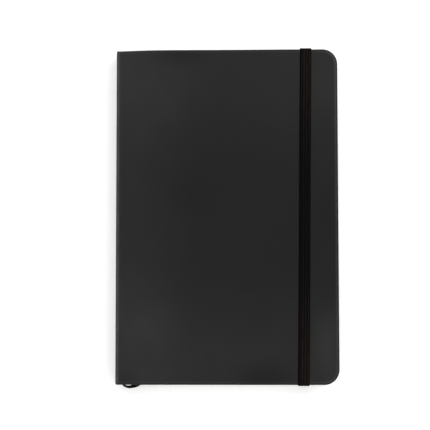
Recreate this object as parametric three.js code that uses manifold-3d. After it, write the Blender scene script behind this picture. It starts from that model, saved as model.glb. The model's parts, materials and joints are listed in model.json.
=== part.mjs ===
// Thread-sewn sketchbook with a black soft-touch cover, elastic closure and ribbon marker.
// Millimetres. Origin at the centre of the back cover's outer face; the book lies closed on
// that face. +X runs from the spine to the fore edge, +Y to the head, +Z out of the front cover.
import * as THREE from 'three';
import { mergeVertices } from 'three/addons/utils/BufferGeometryUtils.js';
import Module from 'manifold-3d';

const wasm = await Module();
wasm.setup();

// ---------------------------------------------------------------- driving dimensions
const WIDTH = 139.7;              // spine face to fore edge, 5.5 in
const HEIGHT = 210.8;             // head to tail, 8.3 in
const THICK = 15.6;               // closed book without the elastic

const SKIN = 0.35;                // leatherette on the outside and round the edges
const TURN_IN = 0.30;             // leatherette folded over onto the inside of the board
const TURN_IN_WIDTH = 12;
const BOARD = 1.45;               // greyboard
const GAP = 0.05;                 // air left between glued neighbours
const ENDPAPER = 0.15;
const R_FORE = 9.5;               // cover corners at the fore edge
const R_SPINE = 1.2;              // cover corners at the spine
const R_EDGE = 0.8;               // rounding of the cover's outer edges
const HINGE_BACKSET = 0.3;        // cover parts start this far from the spine face

const SQUARE = 3.0;               // how far the cover stands out past the paper
const R_PAPER = 7.6;              // paper corners at the fore edge
const SPINE_BUILD = 2.9;          // spine face to the folds of the paper

const SIGNATURE = 1.2;            // one folded section of eight leaves
const LEAF = 0.15;
const N_LEAVES = 8;
const RIBBON_T = 0.25;
const RIBBON_W = 6.0;

const BAND_W = 7.2;               // elastic closure
const BAND_T = 0.6;
const BAND_X = 48.75;             // its middle, half way up the book
const BAND_SLANT = 0.0109;        // it leans towards the fore edge at the head, radians
const SLOT_Y = 91.0;              // slots in the back cover, from the middle of the book
const SLOT_LEN = 7.9;
const SLOT_W = 1.3;
const BAND_DENT = 0.7;            // depth of the channels that take the elastic at the back
const BAND_TAIL = 12.0;           // length glued inside the back cover

const X0 = -WIDTH / 2;
const X1 = WIDTH / 2;
const Y1 = HEIGHT / 2;

// heights of every layer, from the back cover up
const Z_BACK_BOARD = SKIN + GAP;
const Z_BACK_LIP = Z_BACK_BOARD + BOARD + GAP;
const Z_BACK_PASTE = Z_BACK_LIP + TURN_IN + GAP;
const Z_BACK_HINGE = Z_BACK_PASTE + ENDPAPER;
const Z_GUSSET = Z_BACK_HINGE + GAP;
const GUSSET = 0.40;
const Z_POCKET = Z_GUSSET + GUSSET + GAP;
const POCKET = 0.35;
const Z_BACK_FLY = Z_POCKET + POCKET + 0.10;
const Z_SIG = Z_BACK_FLY + ENDPAPER + GAP;
const RIBBON_AFTER = 4;           // the ribbon lies on top of this section
const Z_FRONT_BOARD = THICK - SKIN - GAP - BOARD;
const Z_FRONT_LIP = Z_FRONT_BOARD - GAP - TURN_IN;
const Z_FRONT_PASTE = Z_FRONT_LIP - GAP - ENDPAPER;
const Z_FRONT_HINGE = Z_FRONT_PASTE - GAP;
const Z_FRONT_FLY = Z_FRONT_HINGE - GAP - ENDPAPER;
const Z_LEAF1 = Z_FRONT_FLY - GAP - LEAF;
const LEAF_PITCH = LEAF + GAP;

// ---------------------------------------------------------------- materials
const mat = (color, roughness, metalness = 0) =>
  new THREE.MeshStandardMaterial({ color, roughness, metalness });
const LEATHERETTE = mat(0x262524, 0.62);
const BOARD_GREY = mat(0x8d8a84, 0.95);
const PAPER = mat(0xf1ead9, 0.9);
const ENDPAPER_M = mat(0xefe7d4, 0.88);
const CARD = mat(0xb9b1a0, 0.92);
const CLOTH = mat(0xe6e1d4, 0.95);
const BAND_M = mat(0x171615, 0.78);
const RIBBON_M = mat(0x18171a, 0.42);
const THREAD_M = mat(0xf4efe4, 0.8);
const SILK_M = mat(0x1b1a1c, 0.5);

// ---------------------------------------------------------------- geometry helpers
const group = new THREE.Group();
function add(name, geometry, material) {
  const mesh = new THREE.Mesh(geometry, material);
  mesh.name = name;
  group.add(mesh);
  return mesh;
}

// book outline: square-ish corners on the spine side, round ones at the fore edge
function outline(x0, x1, y1, rs, rf) {
  const s = new THREE.Shape();
  s.moveTo(x0 + rs, -y1);
  s.lineTo(x1 - rf, -y1);
  s.absarc(x1 - rf, -y1 + rf, rf, -Math.PI / 2, 0, false);
  s.lineTo(x1, y1 - rf);
  s.absarc(x1 - rf, y1 - rf, rf, 0, Math.PI / 2, false);
  s.lineTo(x0 + rs, y1);
  s.absarc(x0 + rs, y1 - rs, rs, Math.PI / 2, Math.PI, false);
  s.lineTo(x0, -y1 + rs);
  s.absarc(x0 + rs, -y1 + rs, rs, Math.PI, Math.PI * 1.5, false);
  return s;
}

// flat plate between two heights
function plate(shape, z0, z1, curveSegments = 10) {
  return new THREE.ExtrudeGeometry(shape, {
    depth: z1 - z0, bevelEnabled: false, curveSegments,
  }).translate(0, 0, z0);
}

function box(x0, x1, y0, y1, z0, z1) {
  return new THREE.BoxGeometry(x1 - x0, y1 - y0, z1 - z0)
    .translate((x0 + x1) / 2, (y0 + y1) / 2, (z0 + z1) / 2);
}

function solid(geometry) {
  let g = geometry.clone();
  g.deleteAttribute('normal');
  g.deleteAttribute('uv');
  g = mergeVertices(g, 1e-5);
  return new wasm.Manifold(new wasm.Mesh({
    numProp: 3,
    vertProperties: new Float32Array(g.attributes.position.array),
    triVerts: new Uint32Array(g.index.array),
  }));
}

function fromSolid(m) {
  const mesh = m.getMesh();
  const g = new THREE.BufferGeometry();
  g.setAttribute('position', new THREE.BufferAttribute(new Float32Array(mesh.vertProperties), 3));
  g.setIndex(new THREE.BufferAttribute(new Uint32Array(mesh.triVerts), 1));
  const flat = g.toNonIndexed();
  flat.computeVertexNormals();
  return flat;
}

// closed side profile of a strip of thickness t that follows a polyline of [a, b] points
function stripShape(points, t) {
  const left = [];
  const right = [];
  for (let i = 0; i < points.length; i += 1) {
    const p = new THREE.Vector2(...points[i]);
    const before = i > 0 ? new THREE.Vector2(...points[i - 1]) : null;
    const after = i < points.length - 1 ? new THREE.Vector2(...points[i + 1]) : null;
    const d1 = before ? p.clone().sub(before).normalize() : null;
    const d2 = after ? after.clone().sub(p).normalize() : null;
    const a = d1 || d2;
    const b = d2 || d1;
    const n = new THREE.Vector2(-a.y - b.y, a.x + b.x).normalize();
    const cos = n.dot(new THREE.Vector2(-a.y, a.x));
    n.multiplyScalar(t / 2 / cos);
    left.push(p.clone().add(n));
    right.push(p.clone().sub(n));
  }
  return new THREE.Shape([...left, ...right.reverse()]);
}

// an XY extrusion turned so that its own x, y, z become the book's Y, Z, X
function alongX(geometry) {
  const m = new THREE.Matrix4().makeBasis(
    new THREE.Vector3(0, 1, 0), new THREE.Vector3(0, 0, 1), new THREE.Vector3(1, 0, 0));
  return geometry.applyMatrix4(m);
}

// an XY extrusion turned so that its own x, y, z become the book's X, Z, -Y
function alongY(geometry) {
  const m = new THREE.Matrix4().makeBasis(
    new THREE.Vector3(1, 0, 0), new THREE.Vector3(0, 0, 1), new THREE.Vector3(0, -1, 0));
  return geometry.applyMatrix4(m);
}

// leans a geometry with the elastic, about the middle of its front run
const lean = (geometry) =>
  geometry.translate(-BAND_X, 0, 0).rotateZ(-BAND_SLANT).translate(BAND_X, 0, 0);

// ---------------------------------------------------------------- covers
// outer plate of a cover with its outward edges rounded; side = +1 front, -1 back
function coverBlank(z0, z1, side) {
  const inner = outline(X0 + HINGE_BACKSET + R_EDGE, X1 - R_EDGE, Y1 - R_EDGE,
    R_SPINE - R_EDGE + 0.2, R_FORE - R_EDGE);
  const raised = new THREE.ExtrudeGeometry(inner, {
    depth: 4, bevelEnabled: true, bevelThickness: R_EDGE, bevelSize: R_EDGE, bevelSegments: 3,
    curveSegments: 10,
  });
  // the extrusion runs from -R_EDGE to 4 + R_EDGE; keep only one rounded side
  const top = 4 + R_EDGE;
  if (side > 0) raised.translate(0, 0, z1 - top);
  else raised.rotateX(Math.PI).translate(0, 0, z0 + top);
  return solid(raised).intersect(solid(box(-200, 200, -200, 200, z0, z1)));
}

const insetOutline = (d, extra = 0) =>
  outline(X0 + HINGE_BACKSET + d, X1 - d, Y1 - d, 0.9, R_FORE - d + extra);
const windowOutline = outline(X0 + HINGE_BACKSET + SKIN, X1 - TURN_IN_WIDTH, Y1 - TURN_IN_WIDTH,
  0.6, 3.0);

// front cover
{
  const z0 = Z_FRONT_LIP;
  const skin = coverBlank(z0, THICK, 1)
    .subtract(solid(plate(insetOutline(SKIN), z0 + TURN_IN, THICK - SKIN)))
    .subtract(solid(plate(windowOutline, z0 - 1, z0 + TURN_IN + 0.5)));
  add('front_cover_skin', fromSolid(skin), LEATHERETTE);
  add('front_board', plate(insetOutline(SKIN + 0.1), Z_FRONT_BOARD, Z_FRONT_BOARD + BOARD),
    BOARD_GREY);
  add('front_pastedown',
    plate(outline(X0 + 1.0, X1 - SQUARE, Y1 - SQUARE, 0.6, R_PAPER), Z_FRONT_PASTE,
      Z_FRONT_PASTE + ENDPAPER), ENDPAPER_M);
}

// back cover, with a channel at the head and the tail for the elastic to lie in, a slot at the
// end of each channel, and a recess on the inside of the board for the glued end
{
  const half = SLOT_LEN / 2;
  const channels = (grow, depth) => [1, -1].map((s) => {
    const a = s * (SLOT_Y - SLOT_W / 2 - grow);
    const b = s * (Y1 + 3);
    return solid(lean(box(BAND_X - half - grow, BAND_X + half + grow,
      Math.min(a, b), Math.max(a, b), -2, depth)));
  });
  const slots = [1, -1].map((s) => solid(lean(box(BAND_X - half, BAND_X + half,
    s * SLOT_Y - SLOT_W / 2, s * SLOT_Y + SLOT_W / 2, -2, 4))));
  const recesses = [1, -1].map((s) => {
    const a = s * (SLOT_Y + SLOT_W / 2);
    const b = s * (SLOT_Y - BAND_TAIL - 1);
    return solid(lean(box(BAND_X - half, BAND_X + half, Math.min(a, b), Math.max(a, b),
      Z_BACK_BOARD + BOARD - BAND_T - 0.05, Z_BACK_BOARD + BOARD + 1)));
  });
  const cut = (m, tools) => tools.reduce((r, t) => r.subtract(t), m);

  const cavity = cut(solid(plate(insetOutline(SKIN), SKIN, Z_BACK_LIP)),
    channels(SKIN, BAND_DENT + SKIN));
  let skin = cut(coverBlank(0, Z_BACK_LIP + TURN_IN, -1), channels(0, BAND_DENT));
  skin = skin.subtract(cavity)
    .subtract(solid(plate(windowOutline, Z_BACK_LIP - 0.5, Z_BACK_LIP + 2)));
  skin = cut(skin, slots);
  add('back_cover_skin', fromSolid(skin), LEATHERETTE);

  let board = solid(plate(insetOutline(SKIN + 0.1), Z_BACK_BOARD, Z_BACK_BOARD + BOARD));
  board = cut(board, channels(SKIN + 0.1, BAND_DENT + SKIN + GAP));
  board = cut(cut(board, slots), recesses);
  add('back_board', fromSolid(board), BOARD_GREY);

  add('back_pastedown',
    plate(outline(X0 + 1.0, X1 - SQUARE, Y1 - SQUARE, 0.6, R_PAPER), Z_BACK_PASTE,
      Z_BACK_PASTE + ENDPAPER), ENDPAPER_M);
}

// ---------------------------------------------------------------- spine
const Z_SPINE0 = Z_BACK_HINGE + GAP;
const Z_SPINE1 = Z_FRONT_HINGE - GAP;
add('spine_skin', box(X0, X0 + 0.4, -Y1, Y1, Z_SPINE0, Z_SPINE1), LEATHERETTE);
add('spine_stiffener', box(X0 + 0.5, X0 + 1.3, -Y1 + 0.6, Y1 - 0.6, Z_SPINE0 + 0.15,
  Z_SPINE1 - 0.15), CARD);
add('spine_lining', box(X0 + 1.4, X0 + 1.6, -101.6, 101.6, Z_SPINE0 + 0.6, Z_SPINE1 - 0.5), CARD);
add('mull', box(X0 + 1.7, X0 + 2.0, -97, 97, Z_SPINE0 + 0.9, Z_SPINE1 - 0.7), CLOTH);

// ---------------------------------------------------------------- paper
const PX0 = X0 + SPINE_BUILD;
const PX1 = X1 - SQUARE;
const PY1 = Y1 - SQUARE;
const paperOutline = (x0) => outline(x0, PX1, PY1, 0.05, R_PAPER);

// a folded section: flat, with its fold rounded over on the spine side
function section(z0) {
  const r = SIGNATURE / 2;
  const profile = new THREE.Shape();
  profile.moveTo(PX1 + 5, z0);
  profile.lineTo(PX1 + 5, z0 + SIGNATURE);
  profile.lineTo(PX0 + r, z0 + SIGNATURE);
  profile.absarc(PX0 + r, z0 + r, r, Math.PI / 2, Math.PI * 1.5, false);
  profile.lineTo(PX1 + 5, z0);
  const bar = alongY(new THREE.ExtrudeGeometry(profile, {
    depth: 230, bevelEnabled: false, curveSegments: 5,
  })).translate(0, 115, 0);
  return fromSolid(solid(bar).intersect(solid(
    plate(outline(PX0 - 1, PX1, PY1, 0.05, R_PAPER), z0 - 1, z0 + SIGNATURE + 1))));
}

let z = Z_SIG;
let zRibbon = 0;
for (let n = 7; n >= 2; n -= 1) {
  add(`signature_${n}`, section(z), PAPER);
  z += SIGNATURE + GAP;
  if (n === RIBBON_AFTER) {
    zRibbon = z;
    z += RIBBON_T + GAP;
  }
}

// the first section, leaf by leaf; conjugate leaves nest, so the middle ones start further in
for (let n = 1; n <= N_LEAVES; n += 1) {
  const nest = Math.min(n - 1, N_LEAVES - n) * 0.17;
  const z0 = Z_LEAF1 - (n - 1) * LEAF_PITCH;
  add(`leaf_${n}`, plate(paperOutline(PX0 + nest), z0, z0 + LEAF), PAPER);
}
add('front_flyleaf', plate(paperOutline(PX0), Z_FRONT_FLY, Z_FRONT_FLY + ENDPAPER), ENDPAPER_M);
add('back_flyleaf', plate(paperOutline(PX0), Z_BACK_FLY, Z_BACK_FLY + ENDPAPER), ENDPAPER_M);

// ---------------------------------------------------------------- sewing
const Z_THREAD0 = Z_SIG + 0.3;
const Z_THREAD1 = Z_LEAF1 - 0.2;
[-84, -42, 0, 42, 84].forEach((y, i) => {
  const g = new THREE.CylinderGeometry(0.2, 0.2, Z_THREAD1 - Z_THREAD0, 8)
    .rotateX(Math.PI / 2).translate(X0 + 2.4, y, (Z_THREAD0 + Z_THREAD1) / 2);
  add(`sewing_thread_${i + 1}`, g, THREAD_M);
});
// the stitches seen in the middle fold of the first section
add('gutter_thread', new THREE.CylinderGeometry(0.11, 0.11, 168, 8)
  .translate(PX0 + 0.22, 0, Z_LEAF1 - 3 * LEAF_PITCH - GAP / 2), THREAD_M);

// ---------------------------------------------------------------- head and tail bands
function endBand(s) {
  const z0 = Z_SIG + 0.1;
  const z1 = Z_LEAF1 + 0.1;
  const bead = new THREE.CylinderGeometry(0.75, 0.75, z1 - z0, 12)
    .rotateX(Math.PI / 2).translate(X0 + 3.3, s * (PY1 + 0.95), (z0 + z1) / 2);
  const ys = [s * 97.6, s * (PY1 + 0.95)].sort((a, b) => a - b);
  const tab = box(X0 + 1.7, X0 + 2.0, ys[0], ys[1], z0, z1);
  const ws = [s * (PY1 + 0.45), s * (PY1 + 0.95)].sort((a, b) => a - b);
  const web = box(X0 + 1.7, X0 + 3.3, ws[0], ws[1], z0, z1);
  return fromSolid(solid(bead).add(solid(tab)).add(solid(web)));
}
add('headband', endBand(1), SILK_M);
add('tailband', endBand(-1), SILK_M);

// ---------------------------------------------------------------- ribbon marker
// glued to the spine at the head, laid down the gutter, out past the tail in a small loop that
// stands on its edge, and back in between the same two sections
{
  const zc = zRibbon + RIBBON_T / 2;
  const zh = RIBBON_W / 2;
  const tab = box(X0 + 2.1, X0 + 2.35, 87, 101.4, zc - zh, zc + zh);
  const bridge = box(X0 + 2.1, PX0 + 1, 96, 101.4, zRibbon, zRibbon + RIBBON_T);
  const down = box(PX0 + 0.1, PX0 + 0.1 + RIBBON_W, -PY1 + 0.1, 101.4, zRibbon,
    zRibbon + RIBBON_T);
  const foot = box(-65.55, -61.5, -PY1 - 0.6, -PY1 + 0.3, zRibbon, zRibbon + RIBBON_T);
  const up = box(-58.4, -52.4, -PY1 - 0.6, -30, zRibbon, zRibbon + RIBBON_T);
  const loopPts = [];
  for (let i = 0; i <= 14; i += 1) {
    const a = Math.PI * (i / 14);
    loopPts.push([-60.4 - 4.9 * Math.cos(a), -PY1 - 0.4 - 4.35 * Math.sin(a)]);
  }
  const loop = plate(stripShape(loopPts, 0.3), zc - zh, zc + zh);
  const ribbon = [bridge, down, foot, up, loop].reduce((r, g) => r.add(solid(g)), solid(tab));
  add('ribbon_marker', fromSolid(ribbon), RIBBON_M);
}

// ---------------------------------------------------------------- elastic closure
// out of one slot, round the head, down the front cover, round the tail and into the other slot
{
  const zOuter = 0.05 + BAND_T / 2;
  const zInner = Z_BACK_BOARD + BOARD - BAND_T / 2;
  const zFront = THICK + 0.05 + BAND_T / 2;
  const yEdge = Y1 + 0.15 + BAND_T / 2;
  const end = SLOT_Y - BAND_TAIL;
  const r = 0.25;
  const path = [
    [end, zInner], [SLOT_Y - 0.35, zInner], [SLOT_Y, zInner - 0.35], [SLOT_Y, zOuter + 0.3],
    [SLOT_Y + 0.3, zOuter], [yEdge - r, zOuter], [yEdge, zOuter + r],
    [yEdge, zFront - r], [yEdge - r, zFront],
  ];
  const other = path.map(([y, h]) => [-y, h]).reverse();
  const band = alongX(new THREE.ExtrudeGeometry(stripShape([...path, ...other], BAND_T), {
    depth: BAND_W, bevelEnabled: false,
  })).translate(BAND_X - BAND_W / 2, 0, 0);
  add('elastic_band', lean(band), BAND_M);
}

// ---------------------------------------------------------------- back pocket
// a card panel folded up from the fore edge, open towards the spine, with a folded cloth
// gusset at the head and at the tail
{
  const x0 = X0 + 14;
  const x1 = PX1 - 1.2;
  const yp = PY1 - 1.4;
  add('pocket_panel', plate(outline(x0, x1, yp, 2.0, R_PAPER - 1.2), Z_POCKET, Z_POCKET + POCKET),
    ENDPAPER_M);
  add('pocket_gusset_head', box(x0 + 1.5, x1 - 12, yp - 9, yp - 0.6, Z_GUSSET, Z_GUSSET + GUSSET),
    CLOTH);
  add('pocket_gusset_tail', box(x0 + 1.5, x1 - 12, -yp + 0.6, -yp + 9, Z_GUSSET, Z_GUSSET + GUSSET),
    CLOTH);
}

export default group;
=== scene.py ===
import bpy
import bmesh
import json
import math
import random
import numpy as np
from mathutils import Vector, Matrix


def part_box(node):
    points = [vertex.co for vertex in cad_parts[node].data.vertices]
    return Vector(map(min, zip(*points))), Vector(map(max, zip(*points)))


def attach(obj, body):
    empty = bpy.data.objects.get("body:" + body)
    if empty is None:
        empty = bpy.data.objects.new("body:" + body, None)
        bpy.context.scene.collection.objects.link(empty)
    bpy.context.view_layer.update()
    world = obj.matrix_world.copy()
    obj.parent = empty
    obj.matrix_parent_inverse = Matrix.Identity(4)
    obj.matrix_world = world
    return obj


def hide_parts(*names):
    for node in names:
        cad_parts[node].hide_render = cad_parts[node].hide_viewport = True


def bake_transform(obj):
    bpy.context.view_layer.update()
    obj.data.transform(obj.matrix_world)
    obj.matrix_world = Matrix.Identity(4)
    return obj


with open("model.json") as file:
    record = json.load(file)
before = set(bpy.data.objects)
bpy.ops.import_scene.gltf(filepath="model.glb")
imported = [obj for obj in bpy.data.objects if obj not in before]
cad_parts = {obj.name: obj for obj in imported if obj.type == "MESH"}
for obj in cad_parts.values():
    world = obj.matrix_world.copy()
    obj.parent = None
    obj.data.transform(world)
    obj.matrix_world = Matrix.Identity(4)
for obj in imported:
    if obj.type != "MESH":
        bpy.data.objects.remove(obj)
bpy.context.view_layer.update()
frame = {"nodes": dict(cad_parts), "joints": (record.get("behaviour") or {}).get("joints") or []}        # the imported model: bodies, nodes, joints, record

random.seed(7)
rng = np.random.default_rng(11)
MM = 0.001
scene = bpy.context.scene


# ------------------------------------------------------------------ sizes, all from the frame, in mm
def nbox(name):
    lo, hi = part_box(name)
    return np.array(lo) / MM, np.array(hi) / MM


X0 = nbox("spine_skin")[0][0]
X1 = nbox("back_cover_skin")[1][0]
Y1 = nbox("back_cover_skin")[1][1]
THICK = nbox("front_cover_skin")[1][2]
PX0, PX1 = nbox("leaf_1")[0][0], nbox("leaf_1")[1][0]
PY1 = nbox("leaf_1")[1][1]
R_FORE, R_SPINE, R_PAPER = 9.5, 1.2, 7.6
Z_FRONT_LIP = nbox("front_cover_skin")[0][2]
Z_BACK_LIP = nbox("back_cover_skin")[1][2]
JOINT = {j["name"]: j for j in frame["joints"]}
Z_HF = JOINT["front_cover_hinge"]["pos_m"][2] / MM
Z_HB = JOINT["back_cover_hinge"]["pos_m"][2] / MM


def lerp(a, b, t):
    return a + (b - a) * t


def smooth(t):
    t = np.clip(t, 0, 1)
    return t * t * (3 - 2 * t)


# ------------------------------------------------------------------ mesh helpers
def new_mesh(name, verts_mm, faces, material, angle=35, uv=None, recalc=True):
    me = bpy.data.meshes.new(name)
    me.from_pydata((np.asarray(verts_mm, float) * MM).tolist(), [], [tuple(int(i) for i in f) for f in faces])
    if recalc:
        bm = bmesh.new()
        bm.from_mesh(me)
        bmesh.ops.recalc_face_normals(bm, faces=bm.faces)
        bm.to_mesh(me)
        bm.free()
    me.update()
    me.validate()
    me.shade_smooth()
    me.set_sharp_from_angle(angle=math.radians(angle))
    if uv is not None:
        layer = me.uv_layers.new(name="UVMap")
        uv = np.asarray(uv, float)
        idx = np.zeros(len(me.loops), int)
        me.loops.foreach_get("vertex_index", idx)
        layer.data.foreach_set("uv", uv[idx].reshape(-1))
    me.materials.append(material)
    ob = bpy.data.objects.new(name, me)
    scene.collection.objects.link(ob)
    return ob


def sheet_solid(P, N, t):
    """closed thin solid around a grid of points P (U, V, 3) with normals N, thickness t in mm"""
    U, V, _ = P.shape
    t = np.asarray(t, float)
    if t.ndim:
        t = t[..., None]
    verts = np.concatenate([(P + N * t / 2).reshape(-1, 3), (P - N * t / 2).reshape(-1, 3)])
    off = U * V
    f = []
    for i in range(U - 1):
        for j in range(V - 1):
            a, b, c, d = i * V + j, (i + 1) * V + j, (i + 1) * V + j + 1, i * V + j + 1
            f.append((a, b, c, d))
            f.append((off + a, off + d, off + c, off + b))
    for i in range(U - 1):
        a, b = i * V, (i + 1) * V
        f.append((a, off + a, off + b, b))
        a, b = i * V + V - 1, (i + 1) * V + V - 1
        f.append((a, b, off + b, off + a))
    for j in range(V - 1):
        a, b = j, j + 1
        f.append((a, b, off + b, off + a))
        a, b = (U - 1) * V + j, (U - 1) * V + j + 1
        f.append((a, off + a, off + b, b))
    return verts, f


def tube_solid(R):
    """closed solid from rings R (S, K, 3), ends capped"""
    S, K, _ = R.shape
    verts = R.reshape(-1, 3)
    f = []
    for i in range(S - 1):
        for k in range(K):
            k2 = (k + 1) % K
            f.append((i * K + k, i * K + k2, (i + 1) * K + k2, (i + 1) * K + k))
    f.append(tuple(range(K - 1, -1, -1)))
    f.append(tuple((S - 1) * K + k for k in range(K)))
    return verts, f


def rows(y1, x1, r, n=8, mid=8):
    """heights y and the fore-edge x of each row of a sheet with round corners at the fore edge"""
    ys, xs = [], []
    for k in range(n + 1):
        a = math.pi / 2 * k / n
        ys.append(-y1 + r * (1 - math.cos(a)))
        xs.append(x1 - r + r * math.sin(a))
    for k in range(1, mid):
        ys.append(lerp(-y1 + r, y1 - r, k / mid))
        xs.append(x1)
    for k in range(n, -1, -1):
        a = math.pi / 2 * k / n
        ys.append(y1 - r * (1 - math.cos(a)))
        xs.append(x1 - r + r * math.sin(a))
    return np.array(ys), np.array(xs)


# ------------------------------------------------------------------ materials
def material(name):
    m = bpy.data.materials.new(name)
    m.use_nodes = True
    nt = m.node_tree
    nt.nodes.clear()
    out = nt.nodes.new("ShaderNodeOutputMaterial")
    bsdf = nt.nodes.new("ShaderNodeBsdfPrincipled")
    nt.links.new(bsdf.outputs["BSDF"], out.inputs["Surface"])
    return m, nt, bsdf


class Nodes:
    def __init__(self, nt):
        self.nt = nt
        self.tc = nt.nodes.new("ShaderNodeTexCoord")

    def new(self, kind, **values):
        n = self.nt.nodes.new(kind)
        for k, v in values.items():
            if k in n.inputs:
                n.inputs[k].default_value = v
            else:
                setattr(n, k, v)
        return n

    def link(self, a, b):
        self.nt.links.new(a, b)

    def mapping(self, source="Object", scale=(1, 1, 1), rotation=(0, 0, 0)):
        n = self.new("ShaderNodeMapping")
        n.inputs["Scale"].default_value = scale
        n.inputs["Rotation"].default_value = rotation
        self.link(self.tc.outputs[source], n.inputs["Vector"])
        return n.outputs["Vector"]

    def noise(self, vector, scale, detail=3.0, rough=0.5, distortion=0.0):
        n = self.new("ShaderNodeTexNoise")
        n.inputs["Scale"].default_value = scale
        n.inputs["Detail"].default_value = detail
        n.inputs["Roughness"].default_value = rough
        n.inputs["Distortion"].default_value = distortion
        self.link(vector, n.inputs["Vector"])
        return n.outputs["Fac"]

    def voronoi(self, vector, scale, feature="F1", rand=1.0):
        n = self.new("ShaderNodeTexVoronoi", feature=feature)
        n.inputs["Scale"].default_value = scale
        n.inputs["Randomness"].default_value = rand
        self.link(vector, n.inputs["Vector"])
        return n.outputs["Distance"]

    def wave(self, vector, scale, direction="X", profile="SIN", distortion=0.0, detail_scale=1.0):
        n = self.new("ShaderNodeTexWave", wave_type="BANDS", bands_direction=direction, wave_profile=profile)
        n.inputs["Scale"].default_value = scale
        n.inputs["Distortion"].default_value = distortion
        n.inputs["Detail Scale"].default_value = detail_scale
        self.link(vector, n.inputs["Vector"])
        return n.outputs["Fac"]

    def ramp(self, fac, stops, interpolation="LINEAR"):
        n = self.new("ShaderNodeValToRGB")
        n.color_ramp.interpolation = interpolation
        e = n.color_ramp.elements
        while len(e) < len(stops):
            e.new(0.5)
        for el, (p, c) in zip(e, stops):
            el.position = p
            el.color = (*c, 1) if len(c) == 3 else c
        self.link(fac, n.inputs["Fac"])
        return n.outputs["Color"]

    def range(self, fac, a, b, c, d):
        n = self.new("ShaderNodeMapRange")
        n.inputs["From Min"].default_value = a
        n.inputs["From Max"].default_value = b
        n.inputs["To Min"].default_value = c
        n.inputs["To Max"].default_value = d
        self.link(fac, n.inputs["Value"])
        return n.outputs["Result"]

    def smooth(self, value, a, b):
        n = self.new("ShaderNodeMapRange", interpolation_type="SMOOTHSTEP")
        n.inputs["From Min"].default_value = a
        n.inputs["From Max"].default_value = b
        self.link(value, n.inputs["Value"])
        return n.outputs["Result"]

    def math(self, op, a, b=None):
        n = self.new("ShaderNodeMath", operation=op)
        for i, v in enumerate((a, b)):
            if v is None:
                continue
            if isinstance(v, (int, float)):
                n.inputs[i].default_value = v
            else:
                self.link(v, n.inputs[i])
        return n.outputs[0]

    def mix(self, fac, a, b, blend="MIX"):
        n = self.new("ShaderNodeMix", data_type="RGBA", blend_type=blend)
        for name, v in (("Factor", fac), ("A", a), ("B", b)):
            sock = [s for s in n.inputs if s.name == name and s.type in (("VALUE",) if name == "Factor" else ("RGBA",))][0]
            if isinstance(v, (int, float)):
                sock.default_value = v
            elif isinstance(v, tuple):
                sock.default_value = (*v, 1)
            else:
                self.link(v, sock)
        return [s for s in n.outputs if s.type == "RGBA"][0]

    def bump(self, height, strength, distance, normal=None):
        n = self.new("ShaderNodeBump")
        n.inputs["Strength"].default_value = strength
        n.inputs["Distance"].default_value = distance
        self.link(height, n.inputs["Height"])
        if normal is not None:
            self.link(normal, n.inputs["Normal"])
        return n.outputs["Normal"]


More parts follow.
